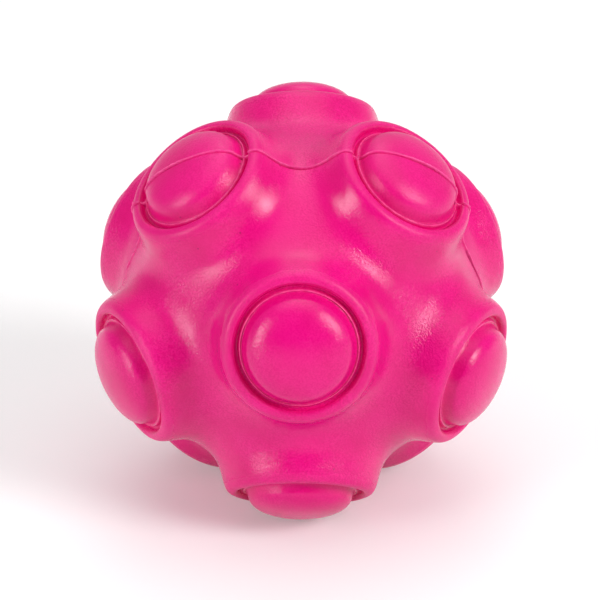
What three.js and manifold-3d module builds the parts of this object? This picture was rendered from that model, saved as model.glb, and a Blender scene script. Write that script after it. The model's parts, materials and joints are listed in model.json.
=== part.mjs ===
// Rubber dog ball: two moulded half shells make a hollow ball with twelve round bosses, placed like the
// points of an icosahedron. A soft nub stands in each boss, and the rear nub holds a reed squeaker.
// Millimetres, +Z up, origin at the ball's centre, front towards -Y. A three-fold axis of the ball is
// upright, so that the ball rests on the rims of its three lowest bosses.
import * as THREE from 'three';
import Module from 'manifold-3d';

// Ball and half shells
const BALL_DIAMETER = 76; // over the tops of two opposite nubs
const VALLEY_RADIUS = 28.8; // level of the surface where no boss lifts it
const LEAST_WALL = 3; // from the cavity to the valley level
const SEAM_OFFSET = 0.4; // of the parting plane, from the ball's centre towards the front
const SEAM_GAP = 0.3; // between the two half shells
const TONGUE_INSET = 2.3; // from the cavity to the middle of the tongue
const TONGUE_WIDTH = 1;
const TONGUE_DEPTH = 1.8;
const TONGUE_CLEARANCE = 0.3;

// Bosses, with heights measured along the boss axis from the ball's centre
const RIM_CREST_RADIUS = 11.8;
const RIM_CREST_HEIGHT = 33.8;
const GROOVE_HEIGHT = 33.35; // foot of the nub, inside the rim
const FLANK_WIDTH = 3.53; // from the crest to half way down the flank
const FLANK_SHARPNESS = 2.17; // a higher power gives a steeper flank

// Nubs
const NUB_RADIUS = 9.3;
const NUB_CLEARANCE = 0.3; // round the skirt and the flange
const NUB_WALL = 3;
const NUB_CROWN = 3.4; // thickness at the top of the dome
const DOME_FULLNESS = 2.1; // 2 is an ellipse, and more is squarer
const FLANGE_WIDTH = 1.5; // beyond the skirt
const FLANGE_THICKNESS = 1.6;
const SEAT_DEPTH = 0.2; // of the flange's flat seat, past the cavity's wall

// Squeaker
const VENT_RADIUS = 1.5; // air hole through the rear nub, the housing and the cap
const SQUEAKER_CLEARANCE = 0.3;
const HOUSING_WALL = 1.1;
const HOUSING_END = 1.2;
const HOUSING_FLANGE_WIDTH = 1.6; // beyond the tube
const HOUSING_FLANGE_THICKNESS = 1.2;
const CAP_PLUG_DEPTH = 1.2;
const CAP_LIP_THICKNESS = 0.8;
const REED_THICKNESS = 0.3;
const REED_WIDTH = 4;
const REED_TIP_GAP = 1; // from the reed's tip to the end of its block
const REED_CLEARANCE = 0.3;
const CHANNEL_WIDTH = 2.8;
const CHANNEL_DEPTH = 1.8;
const WEDGE_LENGTH = 3;

// Facets
const SIDE_STEPS = 5; // along each side of a boss's five-sided cell
const GROOVE_STEPS = 2; // from the groove to the crest
const FLANK_STEPS = 6; // from the crest to the edge of the cell
const FLANK_CROWDING = 1.3; // draws the rings on the flank towards the crest
const ROUND_STEPS = 24; // round a nub or a squeaker piece
const DOME_STEPS = 5;
const SEAM_STEPS = 72; // round the tongue
const WELD_DISTANCE = 1e-3; // corners closer than this are one corner

// Sizes that follow from those above
const BALL_RADIUS = BALL_DIAMETER / 2;
const CAVITY_RADIUS = VALLEY_RADIUS - LEAST_WALL;
const BORE_RADIUS = NUB_RADIUS + NUB_CLEARANCE;
const FLANGE_RADIUS = NUB_RADIUS + FLANGE_WIDTH;
const SEAT_RADIUS = FLANGE_RADIUS + NUB_CLEARANCE;
const SEAT_HEIGHT = Math.sqrt(CAVITY_RADIUS ** 2 - BORE_RADIUS ** 2) + SEAT_DEPTH;
const FLANGE_TOP = SEAT_HEIGHT - NUB_CLEARANCE;
const FLANGE_BOTTOM = FLANGE_TOP - FLANGE_THICKNESS;
const NUB_BORE = NUB_RADIUS - NUB_WALL;
const NUB_CEILING = BALL_RADIUS - NUB_CROWN;
const CREST_REACH = Math.hypot(RIM_CREST_RADIUS, RIM_CREST_HEIGHT);
const CREST_ANGLE = Math.atan2(RIM_CREST_RADIUS, RIM_CREST_HEIGHT);
const GROOVE_REACH = Math.hypot(BORE_RADIUS, GROOVE_HEIGHT);
const GROOVE_ANGLE = Math.atan2(BORE_RADIUS, GROOVE_HEIGHT);
const FLANK_ANGLE = FLANK_WIDTH / CREST_REACH;
const CELL_STEPS = 5 * SIDE_STEPS;

// Angles of the icosahedron
const BOSS_SPACING = Math.atan(2); // between two neighbouring bosses
const HALF_SPACING = BOSS_SPACING / 2;
const CORNER_TURN = Math.PI / 5; // from the middle of a cell's side to its corner
const NEAR_POLE_ANGLE = Math.acos(Math.sqrt((5 + 2 * Math.sqrt(5)) / 15)); // bosses next to the upright axis
const FAR_POLE_ANGLE = Math.acos(Math.sqrt((5 - 2 * Math.sqrt(5)) / 15)); // bosses round the middle

// The bosses by name, each with the polar angle of its axis from +Z and its turn from the front, to the right
const THIRD_TURN = (2 * Math.PI) / 3;
const BOSSES = {
  front: [FAR_POLE_ANGLE, 0],
  far_right: [FAR_POLE_ANGLE, THIRD_TURN],
  far_left: [FAR_POLE_ANGLE, -THIRD_TURN],
  top: [NEAR_POLE_ANGLE, Math.PI],
  upper_right: [NEAR_POLE_ANGLE, THIRD_TURN / 2],
  upper_left: [NEAR_POLE_ANGLE, -THIRD_TURN / 2],
  rear: [Math.PI - FAR_POLE_ANGLE, Math.PI],
  right: [Math.PI - FAR_POLE_ANGLE, THIRD_TURN / 2],
  left: [Math.PI - FAR_POLE_ANGLE, -THIRD_TURN / 2],
  bottom: [Math.PI - NEAR_POLE_ANGLE, 0],
  low_right: [Math.PI - NEAR_POLE_ANGLE, THIRD_TURN],
  low_left: [Math.PI - NEAR_POLE_ANGLE, -THIRD_TURN],
};
const SQUEAKER_BOSS = 'rear';

const pinkRubber = new THREE.MeshStandardMaterial({ color: 0xf01e85, roughness: 0.5, metalness: 0 });
const whitePlastic = new THREE.MeshStandardMaterial({ color: 0xece8dc, roughness: 0.45, metalness: 0 });
const reedFilm = new THREE.MeshStandardMaterial({ color: 0xd8d2bf, roughness: 0.35, metalness: 0 });

const wasm = await Module();
wasm.setup();

// A closed indexed geometry as a solid that can be cut and joined. Corners that coincide are welded into one.
function solidOf(geometry) {
  const position = geometry.getAttribute('position');
  const corners = [];
  const cornerOf = [];
  for (let i = 0; i < position.count; i++) {
    const point = new THREE.Vector3().fromBufferAttribute(position, i);
    const known = corners.findIndex((corner) => corner.distanceTo(point) < WELD_DISTANCE);
    cornerOf.push(known < 0 ? corners.push(point) - 1 : known);
  }
  const triangles = [];
  for (let i = 0; i < geometry.index.count; i += 3) {
    const [a, b, c] = [0, 1, 2].map((j) => cornerOf[geometry.index.getX(i + j)]);
    if (a !== b && b !== c && c !== a) triangles.push(a, b, c);
  }
  return new wasm.Manifold(
    new wasm.Mesh({
      numProp: 3,
      vertProperties: new Float32Array(corners.flatMap((corner) => corner.toArray())),
      triVerts: new Uint32Array(triangles),
    }),
  );
}

// A solid back as a geometry with flat facets.
function geometryOf(solid) {
  const { vertProperties, triVerts } = solid.getMesh();
  const indexed = new THREE.BufferGeometry();
  indexed.setAttribute('position', new THREE.BufferAttribute(vertProperties, 3));
  indexed.setIndex(new THREE.BufferAttribute(triVerts, 1));
  const geometry = indexed.toNonIndexed();
  geometry.computeVertexNormals();
  return geometry;
}

function namedMesh(name, geometry, material) {
  const mesh = new THREE.Mesh(geometry, material);
  mesh.name = name;
  return mesh;
}

// Turns a profile of [radius, height] points about +Z.
function turned(profile, steps = ROUND_STEPS) {
  const points = profile.map(([radius, height]) => new THREE.Vector2(radius, height));
  return new THREE.LatheGeometry(points, steps).rotateX(Math.PI / 2);
}

// A box between two heights on the Z axis, with its middle moved along Y.
function uprightBox(width, depth, bottom, top, y) {
  return new THREE.BoxGeometry(width, depth, top - bottom).translate(0, y, (top + bottom) / 2);
}

function bossAxis([polar, turn]) {
  const out = Math.sin(polar);
  return new THREE.Vector3(out * Math.sin(turn), -out * Math.cos(turn), Math.cos(polar));
}

const axes = Object.values(BOSSES).map(bossAxis);

// The turn that takes +Z to a boss's axis and +X towards one of its five neighbours.
function bossFrame(axis) {
  const neighbour = axes.find((other) => Math.abs(other.angleTo(axis) - BOSS_SPACING) < HALF_SPACING / 2);
  const across = neighbour.clone().addScaledVector(axis, -neighbour.dot(axis)).normalize();
  return new THREE.Matrix4().makeBasis(across, axis.clone().cross(across), axis);
}

// The twelve boss axes as seen from any boss, which is itself at +Z.
const axesInBossFrame = axes.map((axis) => axis.clone().applyMatrix4(bossFrame(axes[0]).invert()));

// Distance from the centre to the outer surface outside the rims: each boss lifts the valley up to its crest.
function shellReach(direction) {
  let left = 1;
  for (const axis of axesInBossFrame) {
    const past = Math.max(direction.angleTo(axis) - CREST_ANGLE, 0) / FLANK_ANGLE;
    left *= 1 - 1 / (1 + past ** FLANK_SHARPNESS);
  }
  return VALLEY_RADIUS + (CREST_REACH - VALLEY_RADIUS) * (1 - left);
}

function polarDirection(polar, azimuth) {
  const out = Math.sin(polar);
  return new THREE.Vector3(out * Math.cos(azimuth), out * Math.sin(azimuth), Math.cos(polar));
}

// Polar angle of the edge of a boss's five-sided cell.
function cellEdge(azimuth) {
  const fromCorner = THREE.MathUtils.euclideanModulo(azimuth - CORNER_TURN, 2 * CORNER_TURN);
  return Math.atan(Math.tan(HALF_SPACING) / Math.cos(fromCorner - CORNER_TURN));
}

// One boss's cell of the hollow shell, in the boss's frame, as rings of points: from the edge of the cell up
// over the rim, down the bore to the flange's seat, and out along the cavity to the edge again.
function cellRings() {
  const ring = (place) => {
    const points = [];
    for (let step = 0; step < CELL_STEPS; step++) {
      points.push(place(CORNER_TURN + (2 * Math.PI * step) / CELL_STEPS));
    }
    return points;
  };
  const circle = (radius, height) =>
    ring((azimuth) => new THREE.Vector3(radius * Math.cos(azimuth), radius * Math.sin(azimuth), height));
  const rings = [];
  for (let step = FLANK_STEPS; step > 0; step--) {
    const share = (step / FLANK_STEPS) ** FLANK_CROWDING;
    rings.push(
      ring((azimuth) => {
        const onCircle = CREST_ANGLE + share * (HALF_SPACING - CREST_ANGLE);
        const direction = polarDirection(onCircle + share ** 2 * (cellEdge(azimuth) - HALF_SPACING), azimuth);
        return direction.multiplyScalar(shellReach(direction));
      }),
    );
  }
  for (let step = GROOVE_STEPS; step >= 0; step--) {
    const share = step / GROOVE_STEPS;
    const angle = GROOVE_ANGLE + share * (CREST_ANGLE - GROOVE_ANGLE);
    const reach = CREST_REACH - (CREST_REACH - GROOVE_REACH) * (1 - share) ** 2;
    rings.push(circle(reach * Math.sin(angle), reach * Math.cos(angle)));
  }
  rings.push(circle(BORE_RADIUS, SEAT_HEIGHT));
  rings.push(circle(SEAT_RADIUS, SEAT_HEIGHT));
  rings.push(circle(SEAT_RADIUS, Math.sqrt(CAVITY_RADIUS ** 2 - SEAT_RADIUS ** 2)));
  rings.push(ring((azimuth) => polarDirection(cellEdge(azimuth), azimuth).multiplyScalar(CAVITY_RADIUS)));
  return rings;
}

// The whole hollow ball with its twelve bores, before it is parted into two halves.
function wholeShell() {
  const rings = cellRings();
  const positions = [];
  const triangles = [];
  axes.forEach((axis, boss) => {
    const frame = bossFrame(axis);
    for (const point of rings.flat()) positions.push(...point.clone().applyMatrix4(frame));
    const corner = (row, step) => (boss * rings.length + row) * CELL_STEPS + (step % CELL_STEPS);
    for (let row = 0; row + 1 < rings.length; row++) {
      for (let step = 0; step < CELL_STEPS; step++) {
        const [a, b] = [corner(row, step), corner(row, step + 1)];
        const [c, d] = [corner(row + 1, step), corner(row + 1, step + 1)];
        triangles.push(a, b, d, a, d, c);
      }
    }
  });
  const geometry = new THREE.BufferGeometry();
  geometry.setAttribute('position', new THREE.Float32BufferAttribute(positions, 3));
  geometry.setIndex(triangles);
  return solidOf(geometry);
}

// The two half shells. The seam plane lies close to the axes of four bosses, so the seam crosses their nubs.
// The rear half carries a tongue that fits a groove in the front half.
function halfShells() {
  const [left, right] = [bossAxis(BOSSES.upper_left), bossAxis(BOSSES.upper_right)];
  const rearward = left.clone().cross(right).normalize();
  rearward.multiplyScalar(Math.sign(rearward.y));
  const seamFrame = new THREE.Matrix4().makeRotationFromQuaternion(
    new THREE.Quaternion().setFromUnitVectors(new THREE.Vector3(0, 0, 1), rearward),
  );
  seamFrame.setPosition(rearward.clone().multiplyScalar(-SEAM_OFFSET));
  const halfSpace = (side) =>
    solidOf(
      new THREE.BoxGeometry(2 * BALL_DIAMETER, 2 * BALL_DIAMETER, BALL_DIAMETER)
        .translate(0, 0, side * (BALL_RADIUS + SEAM_GAP / 2))
        .applyMatrix4(seamFrame),
    );
  const seamRing = (clearance) => {
    const middle = CAVITY_RADIUS + TONGUE_INSET;
    const [inner, outer] = [-1, 1].map((side) => middle + side * (TONGUE_WIDTH / 2 + clearance));
    const [front, rear] = [-TONGUE_DEPTH - clearance, TONGUE_DEPTH];
    const profile = [[inner, front], [outer, front], [outer, rear], [inner, rear], [inner, front]];
    return solidOf(turned(profile, SEAM_STEPS).applyMatrix4(seamFrame));
  };
  const whole = wholeShell();
  const frontHalf = whole.intersect(halfSpace(-1)).subtract(seamRing(TONGUE_CLEARANCE));
  const rearHalf = whole.intersect(halfSpace(1).add(seamRing(0)));
  return [
    namedMesh('front_shell', geometryOf(frontHalf), pinkRubber),
    namedMesh('rear_shell', geometryOf(rearHalf), pinkRubber),
  ];
}

// A hollow nub in its boss's frame: a dome on a skirt that slides in the bore, with a flange behind the wall.
function nubGeometry(ventRadius) {
  const rise = BALL_RADIUS - GROOVE_HEIGHT;
  const domePoint = (turn) => [
    NUB_RADIUS * Math.sin(turn) ** (2 / DOME_FULLNESS),
    GROOVE_HEIGHT + rise * Math.cos(turn) ** (2 / DOME_FULLNESS),
  ];
  const ventTurn = Math.asin((ventRadius / NUB_RADIUS) ** (DOME_FULLNESS / 2));
  const dome = [];
  for (let step = 0; step < DOME_STEPS; step++) {
    dome.unshift(domePoint(ventTurn + (Math.PI / 2 - ventTurn) * (step / DOME_STEPS)));
  }
  const profile = [
    [ventRadius, NUB_CEILING],
    [NUB_BORE, NUB_CEILING],
    [NUB_BORE, FLANGE_BOTTOM],
    [FLANGE_RADIUS, FLANGE_BOTTOM],
    [FLANGE_RADIUS, FLANGE_TOP],
    [NUB_RADIUS, FLANGE_TOP],
    [NUB_RADIUS, GROOVE_HEIGHT],
    ...dome,
  ];
  if (ventRadius > 0) profile.push(profile[0]);
  return turned(profile);
}

// The reed squeaker in the frame of its boss, from the nub's ceiling to the cap inside the ball.
function squeakerMeshes() {
  const radius = NUB_BORE - SQUEAKER_CLEARANCE;
  const bore = radius - HOUSING_WALL;
  const top = NUB_CEILING - SQUEAKER_CLEARANCE;
  const flangeRadius = radius + HOUSING_FLANGE_WIDTH;
  const flangeTop = FLANGE_BOTTOM - SQUEAKER_CLEARANCE;
  const bottom = flangeTop - HOUSING_FLANGE_THICKNESS;
  const housingProfile = [
    [VENT_RADIUS, top - HOUSING_END],
    [bore, top - HOUSING_END],
    [bore, bottom],
    [flangeRadius, bottom],
    [flangeRadius, flangeTop],
    [radius, flangeTop],
    [radius, top],
    [VENT_RADIUS, top],
    [VENT_RADIUS, top - HOUSING_END],
  ];

  const plugRadius = bore - SQUEAKER_CLEARANCE;
  const plugTop = bottom + CAP_PLUG_DEPTH;
  const lipTop = bottom - SQUEAKER_CLEARANCE;
  const lipBottom = lipTop - CAP_LIP_THICKNESS;
  const capProfile = [
    [VENT_RADIUS, lipBottom],
    [radius, lipBottom],
    [radius, lipTop],
    [plugRadius, lipTop],
    [plugRadius, plugTop],
    [VENT_RADIUS, plugTop],
    [VENT_RADIUS, lipBottom],
  ];

  const blockBottom = plugTop + SQUEAKER_CLEARANCE;
  const blockTop = top - HOUSING_END - SQUEAKER_CLEARANCE;
  const face = REED_THICKNESS / 2 + REED_CLEARANCE; // of the block and the wedge, from the reed's middle
  const reedBottom = blockBottom + REED_CLEARANCE;
  const reed = uprightBox(REED_WIDTH, REED_THICKNESS, reedBottom, blockTop - REED_TIP_GAP, 0);
  const halfRound = (side, roundTop) => {
    const profile = [[0, blockBottom], [plugRadius, blockBottom], [plugRadius, roundTop], [0, roundTop]];
    const away = uprightBox(4 * radius, 4 * radius, 0, BALL_DIAMETER, -side * (2 * radius - face));
    return solidOf(turned(profile)).subtract(solidOf(away));
  };
  const channelBottom = blockBottom + WEDGE_LENGTH + REED_CLEARANCE;
  const channel = uprightBox(CHANNEL_WIDTH, 2 * CHANNEL_DEPTH, channelBottom, BALL_DIAMETER, -face);
  const block = halfRound(-1, blockTop).subtract(solidOf(channel));
  const wedge = halfRound(1, blockBottom + WEDGE_LENGTH);
  return [
    namedMesh('squeaker_housing', turned(housingProfile), whitePlastic),
    namedMesh('squeaker_cap', turned(capProfile), whitePlastic),
    namedMesh('squeaker_reed_block', geometryOf(block), whitePlastic),
    namedMesh('squeaker_reed_wedge', geometryOf(wedge), whitePlastic),
    namedMesh('squeaker_reed', reed, reedFilm),
  ];
}

const ball = new THREE.Group();
ball.add(...halfShells());
for (const [name, place] of Object.entries(BOSSES)) {
  const boss = new THREE.Group();
  boss.quaternion.setFromRotationMatrix(bossFrame(bossAxis(place)));
  const hasSqueaker = name === SQUEAKER_BOSS;
  boss.add(namedMesh(`nub_${name}`, nubGeometry(hasSqueaker ? VENT_RADIUS : 0), pinkRubber));
  if (hasSqueaker) boss.add(...squeakerMeshes());
  ball.add(boss);
}

export default ball;
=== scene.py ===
"""Rubber dog ball, dressed: fine half shells and soft nubs in pink rubber, on a pale studio floor."""
import json
import math

import bmesh
import bpy
import numpy as np
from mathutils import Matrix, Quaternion, Vector


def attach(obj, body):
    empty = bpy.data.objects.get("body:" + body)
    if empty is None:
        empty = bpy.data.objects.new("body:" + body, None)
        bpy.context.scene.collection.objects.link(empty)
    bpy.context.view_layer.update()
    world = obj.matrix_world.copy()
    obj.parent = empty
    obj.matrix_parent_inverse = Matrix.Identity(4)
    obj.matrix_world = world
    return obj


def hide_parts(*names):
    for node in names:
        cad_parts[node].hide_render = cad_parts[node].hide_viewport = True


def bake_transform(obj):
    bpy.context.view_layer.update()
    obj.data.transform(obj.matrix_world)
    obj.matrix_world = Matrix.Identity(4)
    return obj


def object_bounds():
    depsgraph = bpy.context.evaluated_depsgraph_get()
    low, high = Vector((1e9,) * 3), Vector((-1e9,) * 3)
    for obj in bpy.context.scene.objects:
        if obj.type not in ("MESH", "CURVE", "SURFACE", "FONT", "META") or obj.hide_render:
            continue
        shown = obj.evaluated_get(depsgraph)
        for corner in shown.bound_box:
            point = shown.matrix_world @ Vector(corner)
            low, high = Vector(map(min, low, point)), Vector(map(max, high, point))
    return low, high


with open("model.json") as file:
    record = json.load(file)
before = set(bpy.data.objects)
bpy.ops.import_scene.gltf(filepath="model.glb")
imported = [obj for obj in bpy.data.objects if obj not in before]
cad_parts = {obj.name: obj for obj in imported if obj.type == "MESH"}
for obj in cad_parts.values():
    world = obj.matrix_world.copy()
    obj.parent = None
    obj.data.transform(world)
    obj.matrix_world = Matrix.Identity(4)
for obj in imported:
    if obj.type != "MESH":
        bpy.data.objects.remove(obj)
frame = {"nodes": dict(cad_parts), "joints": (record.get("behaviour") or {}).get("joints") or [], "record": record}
cad_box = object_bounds()

MM = 0.001
SEED = 7

# Half shells, in millimetres: heights are along a boss's axis from the ball's centre
VALLEY_RADIUS = 28.8
CAVITY_RADIUS = 25.8
RIM_CREST_RADIUS = 11.8
RIM_CREST_HEIGHT = 33.8
FLANK_WIDTH = 3.53
FLANK_SHARPNESS = 2.17
GROOVE_RADIUS = 10.5  # foot of the rim's inner wall
GROOVE_HEIGHT = 32.95
GROOVE_HOLLOW = 0.38  # of the groove's floor, below its edges
RIM_FULLNESS = 3.0  # a higher power gives a broader crest and a steeper wall to the groove
RING_RADIUS = 9.62  # fine raised ring between the groove and the nub
RING_HALF_WIDTH = 0.2
RING_INSIDE = 0.1  # from the ring's top to the bore
RING_HEIGHT = 0.47
RING_FULLNESS = 2.0
BORE_RADIUS = 9.6  # below the ring, round the nub's skirt
SEAT_RADIUS = 11.1
SEAT_HEIGHT = 24.15

# Nubs
DOME_RADIUS = 8.75
DOME_BASE = 34.3
DOME_FULLNESS = 2.1
WALL_RADIUS = 8.58  # below this the dome goes on as a hollow wall to its foot
HOLLOW_RADIUS = 9.15  # corner that the hollow wall bends towards
HOLLOW_HEIGHT = 32.9
FOOT_RADIUS = 9.515
FOOT_HEIGHT = 33.27
SKIRT_RADIUS = 9.3
SKIRT_TOP = 32.4
NUB_BORE = 6.3
NUB_CEILING = 34.6
FLANGE_RADIUS = 10.8
FLANGE_TOP = 23.85
FLANGE_BOTTOM = 22.25
VENT_RADIUS = 1.5
VENT_LIP = 0.5

# Seam: a bead of flash with a crease in front of it, at offsets from the parting plane
SEAM_OFFSET = 0.4  # of the parting plane, in front of the ball's centre
BEAD_OFFSET = 0.2
BEAD_HALF_WIDTH = 0.22
BEAD_HEIGHT = 0.32
CREASE_OFFSET = -0.08
CREASE_REAR_WIDTH = 0.14
CREASE_FRONT_WIDTH = 0.2
CREASE_DEPTH = 0.45
CREASE_GAPE = 3.5  # how much wider the crease's front side is where it gapes
CREASE_SHADE_WIDTH = 0.16  # of the shade painted in a gaping crease, to each side of its bottom
BRIDGE_HEIGHT = 33.2  # of the flash that bridges the groove
BRIDGE_RADIUS = 10.8
BRIDGE_HALF_WIDTH = 2 * BEAD_HALF_WIDTH
BRIDGE_LIFT = 0.5  # share of the bead's height that stands on the bridge
TAB_HEIGHT = 0.35  # scraps of flash where the seam leaves the two upper rims
TAB_LENGTH = 1.1
COARSE_LINES = np.arange(-14, -4) * 0.1  # offsets of the lines cut into the mesh in front of the seam
FINE_LINES = np.arange(-9, 12) * 0.04  # and across it
SEAM_REACH = 3.0  # the mesh is cut only this close to the parting plane
ON_SEAM = 0.1  # a nub is on the seam if the sine of its axis's angle to the parting plane is smaller

# Strength of the seam round the ball: 1 is the full height of the bead and depth of the crease
SEAM_STRENGTH = 0.8
STRENGTH_LIMITS = (0.3, 1.1)
SLOW_SWING = 0.9
SLOW_WAVES = (9, 9, 50)  # number of waves, and the least and most crests of each round the ball
QUICK_SWING = 0.3
QUICK_WAVES = (9, 60, 240)
TAB_STRENGTH = 0.6
TAB_SWING = 1.6
LEFT_FLASH_TURN = math.radians(167)  # the flash is low and ragged down the left side
LEFT_FLASH_SPAN = math.radians(12.5)
FLASH_LOSS = 0.7  # share of the bead that is gone there
FLASH_STRENGTH = 0.1  # of the scraps that stand there instead
FLASH_SWING = 2.0
FLASH_MOST = 0.6
FLASH_FILL = 1.1  # how far it fills the crease
RIGHT_GAP_TURN = math.radians(15)  # the crease gapes down the right side
RIGHT_GAP_SPAN = math.radians(10)
GAP_LOSS = 0.1  # of the bead
GAP_DEPTH = 0.8  # added to the crease
SIDE_STEEPNESS = 3.0  # of both ends of these stretches

# Limits of the outside, where the seam is raised
SHELL_OUTSIDE = CAVITY_RADIUS + 1.5
SHELL_BORE = BORE_RADIUS + 0.05
SHELL_BORE_TOP = FOOT_HEIGHT - 0.1
NUB_OUTSIDE = FOOT_HEIGHT - 0.05
NUB_HOLLOW = NUB_BORE + 1
NUB_HOLLOW_TOP = NUB_CEILING + 1

# Unevenness of the moulding
SWELL_COUNT = 14
SWELL_DEPTHS = (0.055, 0.12)
SWELL_WAVES = (9.0, 40.0)

# Finish of the rubber
ROUGHNESS_BY_REACH = ((30.5, 0.23), (32.0, 0.16), (33.8, 0.15), (34.8, 0.26), (35.7, 0.4))
NUB_ROUGHNESS = 0.22
NUB_GRAIN = 0.7
MATT_NUBS = {"upper_left": 0.33, "upper_right": 0.35}
POLISHED_SPOT = (0.245, -0.59, 0.769)  # direction of a patch with less grain and more gloss
POLISHED_SPREAD = math.radians(13)
POLISHED_GLOSS = 0.3
POLISHED_GRAIN = 0.4
# spread of the highlight painted along the seam's bead, in the bead's half widths
HIGHLIGHT_SPREAD = 1.2
RUBBER_SPECULAR = 0.34
PINK = (0.755, 0.0, 0.19, 1)
DEEP_PINK = (0.70, 0.0, 0.165, 1)
PALE_PINK = (1.0, 0.026, 0.32, 1)
# pale pink painted as highlight along the seam's bead and the fine rings
HIGHLIGHT_PINK = (0.95, 0.10, 0.37, 1)
# dark pink painted as shade in the pits and in the gaping crease
PAINTED_SHADE_PINK = (0.48, 0.0, 0.11, 1)

# Layers of noise: size in millimetres, detail, the two ends of a ramp, and its values at them
CLOUDS = (7, 3, 0.35, 0.65, 0, 1)
GRAIN_PATCHES = (9, 2, 0.35, 0.6, 0.35, 1)
# breaks the painted highlight into scuff-like patches
HIGHLIGHT_BREAKS = (0.9, 2, 0.35, 0.65, 0.45, 1)
UNEVEN_GLOSS = (2.6, 3, 0.3, 0.7, -0.04, 0.04)
GRAIN = (0.32, 1.5, 0.6)  # size, detail and roughness of the noise
GRAIN_TOPS = (0.36, 0.64, 0, 0.42)
GRAIN_DEPTH = 0.1
DENTS = (2.0, 2)
DENT_DEPTH = 0.03
PIT_SPACING = 3.2
PIT_EDGE = (0.03, 0.07, 1, 0)
PIT_CHOICE = (0.7, 0.75, 0, 1)  # about one place in four has a pit

# Plastics of the squeaker: colour, roughness, and the size and depth of their unevenness
PLASTICS = {
    "squeaker_plastic": ((0.82, 0.80, 0.72, 1), 0.42, 3.0, 0.02),
    "reed_film": ((0.70, 0.66, 0.52, 1), 0.3, 1.5, 0.01),
}
PLASTIC_TONE = (3, 0.3, 0.7, 0, 1)  # as the layers of noise, without a size
PLASTIC_SHADE = 0.9
PLASTIC_ROUGHNESS_SWING = 0.05
PLASTIC_FINENESS = 8  # how much finer the surface's unevenness is than the tone's

# Stage, in metres
WHITE = (1, 1, 1, 1)
FLOOR_SIZE = 6.0
FLOOR_WHITE = 0.82
FLOOR_ROUGHNESS = 0.9
FLOOR_GLOW = 0.2
WALL_STRENGTH = 0.28
CEILING_STRENGTH = 1.55
CEILING_FADE = (0.78, 0.99)  # how far up a direction points, from the walls to the ceiling
FRONT_SHARE = 0.2
FRONT_FADE = (-1, -0.4)  # how far back it points, from the front to the sides
BACK_SHARE = 2.3
BACK_FADE = (0.45, 0.85)  # and from the sides to the back
SOFTBOX_DISTANCE = 2.0
SOFTBOX_PANELS = 4  # of growing size, so that a softbox fades towards its edges
PANEL_GAP = 0.002
SOFTBOXES = {  # azimuth, elevation, roll, width, height and radiance in the middle
    "right_softbox": (57, 31, 30, 0.84, 1.4, 16.0),
    "left_softbox": (-56, 11, 0, 0.85, 1.6, 11.0),
    "rear_softbox": (180, 60, 0, 1.3, 1.3, 2.0),
}

# Camera of the photo
CAMERA_AZIMUTH = 0.66
CAMERA_ELEVATION = 24.6
CAMERA_DISTANCE = 554.35  # in millimetres
CAMERA_CLIP = 0.01  # in metres
PHOTO_SIZE = 600
PHOTO_FOCUS = 3234.0  # focal length in pixels
PHOTO_CENTRE = (1.6, -1.0)  # the ball's centre from the middle of the photo, in pixels right and down

# Steps and tolerances of the meshes
SIDE_STEPS = 24
FLANK_STEPS = 40
FLANK_CROWDING = 1.3
RIM_STEPS = 12
GROOVE_STEPS = 8
RING_STEPS = 10
CAVITY_STEPS = 8
DOME_STEPS = 44
WALL_STEPS = 12
LIP_STEPS = 6
SHARP_ANGLE = math.radians(40)
WELD_DISTANCE = 0.002
CUT_TOLERANCE = 1e-8  # in metres

# The bosses stand at the points of an icosahedron, so each has a five-sided cell of the ball
CELL_SIDES = 5
ROUND_STEPS = CELL_SIDES * SIDE_STEPS
CORNER_TURN = math.pi / CELL_SIDES
BOSS_SPACING = math.atan(2)
HALF_SPACING = BOSS_SPACING / 2
CREST_REACH = math.hypot(RIM_CREST_RADIUS, RIM_CREST_HEIGHT)
CREST_ANGLE = math.atan2(RIM_CREST_RADIUS, RIM_CREST_HEIGHT)
GROOVE_REACH = math.hypot(GROOVE_RADIUS, GROOVE_HEIGHT)
GROOVE_ANGLE = math.atan2(GROOVE_RADIUS, GROOVE_HEIGHT)
FLANK_ANGLE = FLANK_WIDTH / CREST_REACH

rng = np.random.default_rng(SEED)


def unit(vector):
    return np.asarray(vector, float) / np.linalg.norm(vector)


def angle_of(cosine):
    return np.arccos(np.clip(cosine, -1, 1))


def hump(offset):
    """1 at no offset, falling to 0 at an offset of 1 to either side."""
    return np.clip(1 - offset ** 2, 0, 1)


def boss_axes():
    """The outward axis of each boss by name, from the joint that presses its nub in."""
    presses = [joint for joint in frame["joints"] if joint["type"] == "slide"]
    return {joint["child"].removesuffix("_nub"): -unit(joint["axis"]) for joint in presses}


AXES = boss_axes()
ALL_AXES = np.array(list(AXES.values()))
front_nub = frame["nodes"]["nub_front"].data
BALL_RADIUS = max(np.dot(vert.co, AXES["front"]) for vert in front_nub.vertices) / MM
seam_cross = unit(np.cross(AXES["upper_left"], AXES["upper_right"]))
SEAM_NORMAL = seam_cross * np.sign(seam_cross[1])
SEAM_ACROSS = np.array([1.0, 0.0, 0.0])
SEAM_UP = np.cross(SEAM_ACROSS, SEAM_NORMAL)


def boss_turn(axis):
    """Matrix from a boss's frame to the ball's: +Z to the axis, +X towards a neighbouring boss."""
    off = np.abs(angle_of(ALL_AXES @ axis) - BOSS_SPACING)
    neighbour = ALL_AXES[np.argmin(off)]
    across = unit(neighbour - neighbour.dot(axis) * axis)
    return np.column_stack([across, np.cross(axis, across), axis])


AXES_FROM_BOSS = ALL_AXES @ boss_turn(ALL_AXES[0])  # in a boss's frame, where they are the same for each


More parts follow.
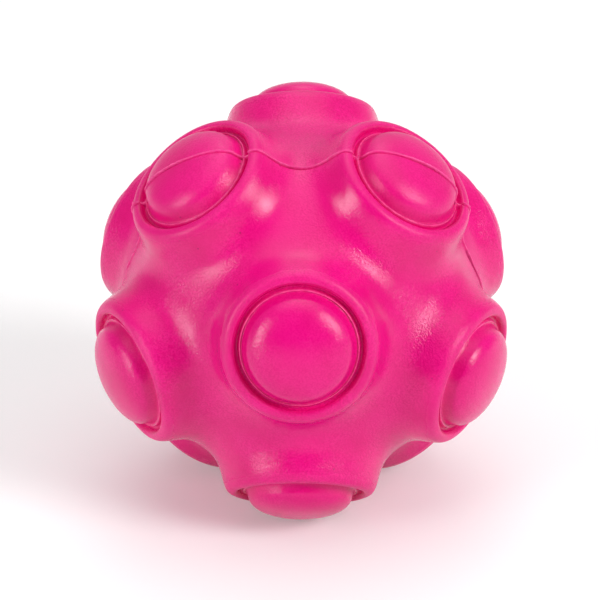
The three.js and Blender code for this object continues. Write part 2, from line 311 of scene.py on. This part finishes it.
def make_waves(count, shortest, longest):
    """Seeded plane waves: wave vectors in radians per millimetre, and phases."""
    directions = rng.normal(size=(count, 3))
    directions /= np.linalg.norm(directions, axis=1, keepdims=True)
    lengths = rng.uniform(shortest, longest, size=(count, 1))
    return directions * 2 * math.pi / lengths, rng.uniform(0, 2 * math.pi, count)


def make_rag(count, least, most):
    """Seeded waves round the seam: whole numbers of waves, and phases."""
    return rng.integers(least, most, count), rng.uniform(0, 2 * math.pi, count)


swell = make_waves(SWELL_COUNT, *SWELL_WAVES)
slow_rag = make_rag(*SLOW_WAVES)
quick_rag = make_rag(*QUICK_WAVES)


def wave_height(points, waves):
    """Mean of the waves at each point, mostly between -0.5 and 0.5."""
    vectors, phases = waves
    return np.sin(points @ vectors.T + phases).mean(axis=1)


def rag_height(turn, rag):
    """Mean of the waves round the seam at each turn."""
    counts, phases = rag
    return np.sin(turn[:, None] * counts + phases).mean(axis=1)


def swollen(points, share):
    """Points drawn a little towards the ball's centre, by a share of an uneven depth."""
    least, most = SWELL_DEPTHS
    depth = (least + (most - least) * np.clip(0.5 + wave_height(points, swell), 0, 1)) * share
    reach = np.linalg.norm(points, axis=1)
    return points * ((reach - depth) / reach)[:, None]


def circle(radius, height, azimuth):
    """Points at a radius from the Z axis and a height along it."""
    return np.stack([radius * np.cos(azimuth), radius * np.sin(azimuth), height + 0 * azimuth], axis=-1)


def polar_direction(polar, azimuth):
    return circle(np.sin(polar), np.cos(polar), azimuth)


def cell_edge(azimuth):
    """Polar angle of the edge of a boss's five-sided cell."""
    from_corner = np.mod(azimuth - CORNER_TURN, 2 * CORNER_TURN)
    return np.arctan(math.tan(HALF_SPACING) / np.cos(from_corner - CORNER_TURN))


def shell_reach(directions):
    """Distance from the centre to the outside: each boss lifts the valley up to its crest."""
    past = np.maximum(angle_of(directions @ AXES_FROM_BOSS.T) - CREST_ANGLE, 0) / FLANK_ANGLE
    left = np.prod(1 - 1 / (1 + past ** FLANK_SHARPNESS), axis=-1)
    return VALLEY_RADIUS + (CREST_REACH - VALLEY_RADIUS) * (1 - left)


def rim_profile():
    """Radius and height from the crest down to the groove, over the fine ring and into the bore."""
    profile = []
    for step in range(RIM_STEPS + 1):
        share = math.sin(math.pi / 2 * step / RIM_STEPS)
        angle = CREST_ANGLE + share * (GROOVE_ANGLE - CREST_ANGLE)
        sunk = 1 - (1 - share ** RIM_FULLNESS) ** (1 / RIM_FULLNESS)
        reach = CREST_REACH - (CREST_REACH - GROOVE_REACH) * sunk
        profile.append((reach * math.sin(angle), reach * math.cos(angle)))
    groove_width = GROOVE_RADIUS - RING_RADIUS - RING_HALF_WIDTH
    for step in range(1, GROOVE_STEPS):
        share = step / GROOVE_STEPS
        sunk = GROOVE_HOLLOW * 4 * share * (1 - share)
        profile.append((GROOVE_RADIUS - share * groove_width, GROOVE_HEIGHT - sunk))
    for step in range(RING_STEPS + 1):
        across = RING_HALF_WIDTH - (RING_HALF_WIDTH + RING_INSIDE) * step / RING_STEPS
        rise = RING_HEIGHT * (1 - abs(across / RING_HALF_WIDTH) ** RING_FULLNESS)
        profile.append((RING_RADIUS + across, GROOVE_HEIGHT + rise))
    profile.append((RING_RADIUS - RING_INSIDE, SKIRT_TOP))
    profile.append((BORE_RADIUS, SEAT_HEIGHT))
    profile.append((SEAT_RADIUS, SEAT_HEIGHT))
    return profile


def cell_rings():
    """Rings of points of one boss's cell, in the boss's frame: flank, rim, bore and cavity."""
    azimuth = CORNER_TURN + 2 * math.pi * np.arange(ROUND_STEPS) / ROUND_STEPS
    edge = cell_edge(azimuth)
    rings = []
    for step in range(FLANK_STEPS, 0, -1):
        share = (step / FLANK_STEPS) ** FLANK_CROWDING
        on_circle = CREST_ANGLE + share * (HALF_SPACING - CREST_ANGLE)
        directions = polar_direction(on_circle + share ** 2 * (edge - HALF_SPACING), azimuth)
        rings.append(directions * shell_reach(directions)[:, None])
    for radius, height in rim_profile():
        rings.append(circle(radius, height, azimuth))
    seat_angle = math.asin(SEAT_RADIUS / CAVITY_RADIUS)
    for step in range(CAVITY_STEPS + 1):
        share = step / CAVITY_STEPS
        rings.append(polar_direction(seat_angle + share * (edge - seat_angle), azimuth) * CAVITY_RADIUS)
    return np.array(rings)


def ring_faces(rows, steps, first=0):
    """Quads between rings of points that are numbered row by row."""
    faces = []
    for row in range(rows - 1):
        for step in range(steps):
            a = first + row * steps + step
            b = first + row * steps + (step + 1) % steps
            faces.append((a, b, b + steps, a + steps))
    return faces


def mesh_from(points, faces):
    """A welded bmesh of points in millimetres."""
    mesh = bpy.data.meshes.new("draft")
    mesh.from_pydata((points * MM).tolist(), [], faces)
    bm = bmesh.new()
    bm.from_mesh(mesh)
    bpy.data.meshes.remove(mesh)
    bmesh.ops.remove_doubles(bm, verts=bm.verts, dist=WELD_DISTANCE * MM)
    bmesh.ops.recalc_face_normals(bm, faces=bm.faces)
    return bm


def points_of(bm):
    return np.array([vert.co for vert in bm.verts]) / MM


def boss_place(points):
    """Radius from the nearest boss's axis, height along it, and that axis, of each point."""
    heights = points @ ALL_AXES.T
    height = heights.max(axis=1)
    radius = np.sqrt(np.maximum((points ** 2).sum(axis=1) - height ** 2, 0))
    return radius, height, ALL_AXES[heights.argmax(axis=1)]


def whole_shell():
    """The hollow ball with its bores, before it is parted. Its swell fades smoothly over each rim."""
    rings = cell_rings()
    rows, steps, _ = rings.shape
    past_crest = np.clip((np.arange(rows) - FLANK_STEPS) / RIM_STEPS, 0, 1)
    swell_share = np.repeat(1 - past_crest ** 2 * (3 - 2 * past_crest), steps)
    points, faces = [], []
    for boss, axis in enumerate(ALL_AXES):
        cell = rings.reshape(-1, 3) @ boss_turn(axis).T
        points.append(swollen(cell, swell_share))
        faces += ring_faces(rows, steps, boss * rows * steps)
    return mesh_from(np.concatenate(points), faces)


def dome_turn(radius):
    """Turn along the dome's section, from its top, at which it has a radius."""
    return math.asin((radius / DOME_RADIUS) ** (DOME_FULLNESS / 2))


def nub_profile(vent):
    """Section of a nub as radius and height, from the middle of its hollow round to the dome's top."""
    profile = [(vent, NUB_CEILING), (NUB_BORE, NUB_CEILING), (NUB_BORE, FLANGE_BOTTOM)]
    profile += [(FLANGE_RADIUS, FLANGE_BOTTOM), (FLANGE_RADIUS, FLANGE_TOP)]
    profile += [(SKIRT_RADIUS, FLANGE_TOP), (SKIRT_RADIUS, SKIRT_TOP)]
    wall_turn = dome_turn(WALL_RADIUS)
    lip_turn = dome_turn(vent + VENT_LIP) if vent else 0
    dome = []
    for step in range(DOME_STEPS + 1):
        turn = wall_turn + (lip_turn - wall_turn) * step / DOME_STEPS
        rise = (BALL_RADIUS - DOME_BASE) * math.cos(turn) ** (2 / DOME_FULLNESS)
        dome.append((DOME_RADIUS * math.sin(turn) ** (2 / DOME_FULLNESS), DOME_BASE + rise))
    foot, corner, top = np.array([(FOOT_RADIUS, FOOT_HEIGHT), (HOLLOW_RADIUS, HOLLOW_HEIGHT), dome[0]])
    for step in range(WALL_STEPS):
        share = step / WALL_STEPS
        wall = (1 - share) ** 2 * foot + 2 * share * (1 - share) * corner + share ** 2 * top
        profile.append(tuple(wall))
    profile += dome
    if vent:
        lip_top = profile[-1][1]
        for step in range(1, LIP_STEPS + 1):
            turn = math.pi / 2 * step / LIP_STEPS
            radius = vent + VENT_LIP * (1 - math.sin(turn))
            profile.append((radius, lip_top - VENT_LIP * (1 - math.cos(turn))))
        profile.append(profile[0])
    return profile


def nub_mesh(axis, vent):
    """A nub whose dome swells as the shell does, while its foot and its hollow stay even."""
    azimuth = 2 * math.pi * np.arange(ROUND_STEPS) / ROUND_STEPS
    section = np.array(nub_profile(vent))
    rings = circle(section[:, :1], section[:, 1:], azimuth)
    points = rings.reshape(-1, 3) @ boss_turn(axis).T
    radius, height = section.T
    on_dome = np.clip(height - DOME_BASE, 0, 1) * (radius > NUB_BORE)
    on_top = np.clip(height - NUB_CEILING, 0, 1)
    share = np.repeat(np.maximum(on_dome, on_top), ROUND_STEPS)
    return mesh_from(swollen(points, share), ring_faces(len(section), ROUND_STEPS))


def seam_offset(points):
    """How far each point is behind the parting plane."""
    return points @ SEAM_NORMAL + SEAM_OFFSET


def seam_turn(points):
    """Turn round the seam of each point, from the ball's right side up."""
    return np.arctan2(points @ SEAM_UP, points @ SEAM_ACROSS)


def tab_turns():
    """Turns round the seam where it crosses the outer rims of the two upper bosses."""
    turns = []
    for name, other in (("upper_left", "upper_right"), ("upper_right", "upper_left")):
        away = unit(AXES[name] - AXES[name].dot(AXES[other]) * AXES[other])
        outward = unit(away - away.dot(AXES[name]) * AXES[name])
        rim = math.cos(CREST_ANGLE) * AXES[name] + math.sin(CREST_ANGLE) * outward
        turns.append(seam_turn(rim[None])[0])
    return turns


TAB_TURNS = tab_turns()


def stretch(turn, middle, span):
    """1 in a stretch of the seam, falling to 0 at both its ends."""
    return np.minimum(SIDE_STEEPNESS * hump((turn - middle) / span), 1)


def seam_strengths(turn):
    """How strong the seam's bead and crease are, and how far it gapes, at each turn round the ball."""
    quick = rag_height(turn, quick_rag)
    strength = np.clip(SEAM_STRENGTH + SLOW_SWING * rag_height(turn, slow_rag), *STRENGTH_LIMITS)
    flash = stretch(turn, LEFT_FLASH_TURN, LEFT_FLASH_SPAN)
    gap = stretch(turn, RIGHT_GAP_TURN, RIGHT_GAP_SPAN)
    scraps = np.clip(FLASH_STRENGTH + FLASH_SWING * quick, 0, FLASH_MOST)
    bead = strength * (1 + QUICK_SWING * quick) * (1 - FLASH_LOSS * flash) + flash * scraps - GAP_LOSS * gap
    for tab in TAB_TURNS:
        from_tab = CREST_REACH * (turn - tab) / TAB_LENGTH
        torn = np.clip(TAB_STRENGTH + TAB_SWING * quick, 0, 1)
        bead = bead + TAB_HEIGHT / BEAD_HEIGHT * hump(from_tab) * torn
    crease = strength + GAP_DEPTH * gap - FLASH_FILL * flash
    return np.maximum(bead, 0), np.maximum(crease, 0), gap


def seam_lift(offset, turn):
    """Height in millimetres of the seam, at an offset from the parting plane and a turn round the ball."""
    bead, crease, gap = seam_strengths(turn)
    from_crease = offset - CREASE_OFFSET
    front_width = CREASE_FRONT_WIDTH * (1 + (CREASE_GAPE - 1) * gap)
    crease_width = np.where(from_crease > 0, CREASE_REAR_WIDTH, front_width)
    raised = BEAD_HEIGHT * bead * hump((offset - BEAD_OFFSET) / BEAD_HALF_WIDTH)
    return raised - CREASE_DEPTH * crease * hump(from_crease / crease_width) ** 2


def add_seam(bm, is_outside):
    """Cuts lines along the parting plane into the mesh, and raises the seam's flash on its outside."""
    near = [vert for vert in bm.verts if abs(vert.co.dot(SEAM_NORMAL) / MM + SEAM_OFFSET) < SEAM_REACH]
    edges = dict.fromkeys(edge for vert in near for edge in vert.link_edges)
    faces = dict.fromkeys(face for vert in near for face in vert.link_faces)
    corners = dict.fromkeys(vert for face in faces for vert in face.verts)
    geometry = [*corners, *edges, *faces]
    normal = Vector(SEAM_NORMAL)
    for line in np.concatenate([COARSE_LINES, FINE_LINES]):
        middle = Vector(SEAM_NORMAL * (line - SEAM_OFFSET) * MM)
        cut = bmesh.ops.bisect_plane(
            bm, geom=geometry, dist=CUT_TOLERANCE, plane_co=middle, plane_no=normal
        )
        geometry = cut["geom"]
    bm.normal_update()
    points = points_of(bm)
    normals = np.array([vert.normal for vert in bm.verts])
    offset = seam_offset(points)
    lift = seam_lift(offset, seam_turn(points))
    radius, height, axis = boss_place(points)
    in_groove = ((radius > FOOT_RADIUS) & (radius < BRIDGE_RADIUS))[:, None]
    fill = np.maximum(BRIDGE_HEIGHT - height, 0) * hump((offset - BEAD_OFFSET) / BRIDGE_HALF_WIDTH)
    across_groove = (BRIDGE_LIFT * np.maximum(lift, 0) + fill)[:, None] * axis
    moved = np.where(in_groove, across_groove, normals * lift[:, None]) * is_outside(points)[:, None]
    for vert, place in zip(bm.verts, (points + moved) * MM):
        vert.co = place


def outside_shell(points):
    """Whether each point of the shell is outside, and not in a bore or the cavity."""
    radius, height, _ = boss_place(points)
    in_bore = (radius < SHELL_BORE) & (height < SHELL_BORE_TOP)
    return (np.linalg.norm(points, axis=1) > SHELL_OUTSIDE) & ~in_bore


def outside_nub(points):
    """Whether each point of a nub is outside, and not on its skirt or in its hollow."""
    radius, height, _ = boss_place(points)
    return (height > NUB_OUTSIDE) & ((radius > NUB_HOLLOW) | (height > NUB_HOLLOW_TOP))


def half_of(whole, in_rear):
    """One half of the parted shell, closed along the seam."""
    half = whole.copy()
    offsets = [face.calc_center_median().dot(SEAM_NORMAL) / MM + SEAM_OFFSET for face in half.faces]
    other = [face for face, offset in zip(half.faces, offsets) if (offset > 0) != in_rear]
    bmesh.ops.delete(half, geom=other, context="FACES")
    rim = [edge for edge in half.edges if edge.is_boundary]
    bmesh.ops.triangle_fill(half, use_beauty=True, edges=rim, normal=Vector(SEAM_NORMAL))
    bmesh.ops.recalc_face_normals(half, faces=half.faces)
    return half


def polish_of(points):
    """How polished the rubber is at each point, from 0 to 1."""
    directions = points / np.linalg.norm(points, axis=1, keepdims=True)
    return hump(angle_of(directions @ unit(POLISHED_SPOT)) / POLISHED_SPREAD)


def roughness_of(points, nub):
    """Roughness of the rubber at each point of a nub, or of the shell: glossy flanks and matt rims."""
    if nub:
        return np.full(len(points), MATT_NUBS.get(nub, NUB_ROUGHNESS))
    by_reach = np.interp(np.linalg.norm(points, axis=1), *zip(*ROUGHNESS_BY_REACH))
    return by_reach * (1 - POLISHED_GLOSS * polish_of(points))


def grain_of(points, nub):
    """How strong the rubber's grain is at each point of a nub, or of the shell."""
    if nub:
        return np.full(len(points), NUB_GRAIN)
    return 1 - POLISHED_GRAIN * polish_of(points)


def crease_shade_of(points):
    """How much shade is painted at each point: in the crease where it gapes."""
    _, _, gap = seam_strengths(seam_turn(points))
    from_crease = seam_offset(points) - CREASE_OFFSET
    return gap * (np.abs(from_crease) < CREASE_SHADE_WIDTH)


def painted_highlight_of(points):
    """How much highlight is painted pale at each point: along the seam's bead and the fine rings."""
    radius, height, _ = boss_place(points)
    bead, _, _ = seam_strengths(seam_turn(points))
    from_bead = seam_offset(points) - BEAD_OFFSET
    on_seam = np.minimum(bead, 1) * hump(from_bead / (HIGHLIGHT_SPREAD * BEAD_HALF_WIDTH))
    on_ring = hump((radius - RING_RADIUS) / RING_HALF_WIDTH) * (height > GROOVE_HEIGHT)
    return np.maximum(on_seam, on_ring)


def piece_from(bm, name, material, nub=None):
    """A smooth piece of the object from a bmesh, which is freed. A nub is told by its boss's name."""
    points = points_of(bm)
    finish = {
        # painted highlight: pale pink along the seam's bead and the fine rings
        "painted_highlight": painted_highlight_of(points),
        # painted shade: dark pink in the gaping crease
        "crease_shade": crease_shade_of(points),
        "matt": roughness_of(points, nub),
        "grain": grain_of(points, nub),
    }
    mesh = bpy.data.meshes.new(name)
    bm.to_mesh(mesh)
    bm.free()
    for attribute, values in finish.items():
        mesh.attributes.new(attribute, "FLOAT", "POINT").data.foreach_set("value", values)
    mesh.shade_smooth()
    mesh.set_sharp_from_angle(angle=SHARP_ANGLE)
    mesh.materials.append(material)
    piece = bpy.data.objects.new(name, mesh)
    bpy.context.scene.collection.objects.link(piece)
    return piece


class Nodes:
    """The node tree of a material or a world, with short calls for its nodes and links."""

    def __init__(self, owner):
        owner.use_nodes = True
        self.tree = owner.node_tree

    def feed(self, node, inputs):
        """Links each named or numbered input of a node to a socket, or sets it to a constant."""
        for name, value in inputs.items():
            if isinstance(value, bpy.types.NodeSocket):
                self.tree.links.new(value, node.inputs[name])
            else:
                node.inputs[name].default_value = value

    def shade(self, shader, inputs):
        """Feeds the shader that the tree comes with."""
        self.feed(self.tree.nodes[shader], inputs)

    def add(self, kind, inputs=None, **settings):
        node = self.tree.nodes.new(kind)
        for name, value in settings.items():
            setattr(node, name, value)
        self.feed(node, inputs or {})
        return node

    def attribute(self, name):
        return self.add("ShaderNodeAttribute", attribute_name=name).outputs["Fac"]

    def combine(self, operation, first, second):
        return self.add("ShaderNodeMath", {0: first, 1: second}, operation=operation).outputs[0]

    def millimetres(self):
        place = self.add("ShaderNodeTexCoord").outputs["Object"]
        scale = (1 / MM, 1 / MM, 1 / MM)
        return self.add("ShaderNodeMapping", {"Vector": place, "Scale": scale}).outputs["Vector"]

    def noise(self, place, size, detail=2.0, roughness=0.5):
        inputs = {"Vector": place, "Scale": 1 / size, "Detail": detail, "Roughness": roughness}
        return self.add("ShaderNodeTexNoise", inputs).outputs["Fac"]

    def ramp(self, factor, low, high, start, end, interpolation="LINEAR"):
        """Values from start to end as the factor goes from low to high."""
        inputs = {"Value": factor, "From Min": low, "From Max": high, "To Min": start, "To Max": end}
        return self.add("ShaderNodeMapRange", inputs, interpolation_type=interpolation).outputs["Result"]

    def layer(self, place, size, detail, low, high, start, end):
        """Values from start to end as a noise goes from low to high."""
        return self.ramp(self.noise(place, size, detail), low, high, start, end)

    def mix(self, factor, first, second):
        """A colour between two. Sockets 6 and 7 of a Mix node, and its output 2, are those for colours."""
        return self.add("ShaderNodeMix", {0: factor, 6: first, 7: second}, data_type="RGBA").outputs[2]

    def bump(self, height, distance, normal=None, strength=1.0):
        inputs = {"Height": height, "Distance": distance * MM, "Strength": strength}
        if normal:
            inputs["Normal"] = normal
        return self.add("ShaderNodeBump", inputs).outputs["Normal"]


def pink_rubber():
    """Moulded rubber: cloudy pink with a grain, painted shade in a few pits and in the gaping crease, and a
    painted highlight along the seam's bead and the fine rings, as glossy as the attributes say.
    """
    material = bpy.data.materials.new("pink_rubber")
    nodes = Nodes(material)
    place = nodes.millimetres()
    grain = nodes.noise(place, *GRAIN)
    grainy = nodes.combine("MULTIPLY", nodes.layer(place, *GRAIN_PATCHES), nodes.attribute("grain"))
    pale = nodes.combine("MULTIPLY", nodes.ramp(grain, *GRAIN_TOPS), grainy)
    pink = nodes.mix(pale, nodes.mix(nodes.layer(place, *CLOUDS), PINK, DEEP_PINK), PALE_PINK)
    cells = nodes.add("ShaderNodeTexVoronoi", {"Vector": place, "Scale": 1 / PIT_SPACING}).outputs
    choice = nodes.add("ShaderNodeSeparateColor", {"Color": cells["Color"]}).outputs["Red"]
    all_pits = nodes.ramp(cells["Distance"], *PIT_EDGE)
    few_pits = nodes.combine("MULTIPLY", all_pits, nodes.ramp(choice, *PIT_CHOICE))
    # painted shade: dark in a few pits and in the gaping crease
    painted_shade = nodes.combine("MAXIMUM", few_pits, nodes.attribute("crease_shade"))
    # painted highlight: pale along the seam's bead and the fine rings, broken into patches
    edge_highlight = nodes.combine("MULTIPLY", nodes.attribute("painted_highlight"), nodes.layer(place, *HIGHLIGHT_BREAKS))
    fine = nodes.bump(grain, GRAIN_DEPTH, strength=grainy)
    nodes.shade("Principled BSDF", {
        "Base Color": nodes.mix(edge_highlight, nodes.mix(painted_shade, pink, PAINTED_SHADE_PINK), HIGHLIGHT_PINK),
        "Roughness": nodes.combine("ADD", nodes.attribute("matt"), nodes.layer(place, *UNEVEN_GLOSS)),
        "Specular IOR Level": RUBBER_SPECULAR,
        "Normal": nodes.bump(nodes.noise(place, *DENTS), DENT_DEPTH, fine),
    })
    return material


def plain_plastic(name, color, roughness, size, depth):
    """Moulded plastic with a faint unevenness of tone and surface."""
    material = bpy.data.materials.new(name)
    nodes = Nodes(material)
    place = nodes.millimetres()
    tone = nodes.layer(place, size, *PLASTIC_TONE)
    shaded = tuple(PLASTIC_SHADE * part for part in color[:3]) + (1,)
    smoothest, roughest = roughness - PLASTIC_ROUGHNESS_SWING, roughness + PLASTIC_ROUGHNESS_SWING
    nodes.shade("Principled BSDF", {
        "Base Color": nodes.mix(tone, color, shaded),
        "Roughness": nodes.ramp(tone, 0, 1, smoothest, roughest),
        "Normal": nodes.bump(nodes.noise(place, size / PLASTIC_FINENESS), depth),
    })
    return material


def dress_ball():
    """Replaces the half shells and the nubs with fine pieces that carry the seam."""
    rubber = pink_rubber()
    whole = whole_shell()
    add_seam(whole, outside_shell)
    halves = ((False, "ball_front_half", "front_shell"), (True, "ball_rear_half", "rear_shell"))
    for in_rear, name, node in halves:
        half = piece_from(half_of(whole, in_rear), name, rubber)
        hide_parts(node)
        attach(half, "shell")
    whole.free()
    for name, axis in AXES.items():
        nub = nub_mesh(axis, VENT_RADIUS if name == "rear" else 0)
        if abs(axis.dot(SEAM_NORMAL)) < ON_SEAM:
            add_seam(nub, outside_nub)
        piece = piece_from(nub, f"soft_nub_{name}", rubber, name)
        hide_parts(f"nub_{name}")
        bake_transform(piece)


def dress_squeaker():
    """Gives the squeaker's CAD solids their plastics."""
    plastics = {name: plain_plastic(name, *looks) for name, looks in PLASTICS.items()}
    for part in frame["record"]["subparts"]:
        material = plastics.get(part["material_slot"])
        if material:
            slots = frame["nodes"][part["node"]].data.materials
            slots.clear()
            slots.append(material)


def direction_of(azimuth, elevation):
    """Unit vector towards an azimuth from the front, to the right, and an elevation, both in degrees."""
    a, e = math.radians(azimuth), math.radians(elevation)
    return Vector((math.sin(a) * math.cos(e), -math.cos(a) * math.cos(e), math.sin(e)))


def background_rays(nodes):
    """A socket that is 1 for the rays that should see a white background."""
    rays = nodes.add("ShaderNodeLightPath").outputs
    direct = nodes.combine("MAXIMUM", rays["Is Camera Ray"], rays["Is Glossy Ray"])
    return nodes.combine("MAXIMUM", direct, rays["Is Transmission Ray"])


def add_floor():
    bpy.ops.mesh.primitive_plane_add(size=FLOOR_SIZE, location=(0, 0, cad_box[0][2]))
    floor = bpy.context.object
    floor.name = "floor"
    material = bpy.data.materials.new("floor")
    nodes = Nodes(material)
    nodes.shade("Principled BSDF", {
        "Base Color": (FLOOR_WHITE, FLOOR_WHITE, FLOOR_WHITE, 1),
        "Roughness": FLOOR_ROUGHNESS,
        "Specular IOR Level": 0,
        "Emission Color": WHITE,
        "Emission Strength": nodes.combine("MULTIPLY", background_rays(nodes), FLOOR_GLOW),
    })
    floor.data.materials.append(material)


def add_world():
    """A white room with a bright ceiling, a brighter back and a dim front."""
    world = bpy.data.worlds.new("studio")
    bpy.context.scene.world = world
    nodes = Nodes(world)
    place = nodes.add("ShaderNodeTexCoord").outputs["Generated"]
    parts = nodes.add("ShaderNodeSeparateXYZ", {0: place}).outputs
    room = nodes.ramp(parts["Z"], *CEILING_FADE, WALL_STRENGTH, CEILING_STRENGTH, "SMOOTHSTEP")
    front = nodes.ramp(parts["Y"], *FRONT_FADE, FRONT_SHARE, 1, "SMOOTHSTEP")
    back = nodes.ramp(parts["Y"], *BACK_FADE, 1, BACK_SHARE, "SMOOTHSTEP")
    strength = nodes.combine("MULTIPLY", nodes.combine("MULTIPLY", room, front), back)
    nodes.shade("Background", {"Color": WHITE, "Strength": strength})


def add_softboxes():
    """Each softbox is a few nested panels, of which the largest is furthest from the ball."""
    for name, (azimuth, elevation, roll, width, height, radiance) in SOFTBOXES.items():
        towards = direction_of(azimuth, elevation)
        lean = Quaternion((0, 0, 1), math.radians(roll))
        turn = (towards.to_track_quat("Z", "Y") @ lean).to_euler()
        for panel in range(1, SOFTBOX_PANELS + 1):
            light = bpy.data.lights.new(f"{name}_{panel}", "AREA")
            light.shape = "RECTANGLE"
            light.size = width * panel / SOFTBOX_PANELS
            light.size_y = height * panel / SOFTBOX_PANELS
            light.energy = radiance / SOFTBOX_PANELS * math.pi * light.size * light.size_y
            lamp = bpy.data.objects.new(f"{name}_{panel}", light)
            lamp.location = towards * (SOFTBOX_DISTANCE + panel * PANEL_GAP)
            lamp.rotation_euler = turn
            bpy.context.scene.collection.objects.link(lamp)


def add_camera():
    data = bpy.data.cameras.new("photo_camera")
    data.lens = PHOTO_FOCUS * data.sensor_width / PHOTO_SIZE
    data.clip_start = CAMERA_CLIP
    data.shift_x = -PHOTO_CENTRE[0] / PHOTO_SIZE
    data.shift_y = PHOTO_CENTRE[1] / PHOTO_SIZE
    camera = bpy.data.objects.new("photo_camera", data)
    back = direction_of(CAMERA_AZIMUTH, CAMERA_ELEVATION)
    camera.rotation_euler = back.to_track_quat("Z", "Y").to_euler()
    camera.location = back * CAMERA_DISTANCE * MM
    bpy.context.scene.collection.objects.link(camera)
    bpy.context.scene.camera = camera


bpy.context.scene.view_settings.view_transform = "Standard"
dress_ball()
dress_squeaker()
add_floor()
add_world()
add_softboxes()
add_camera()
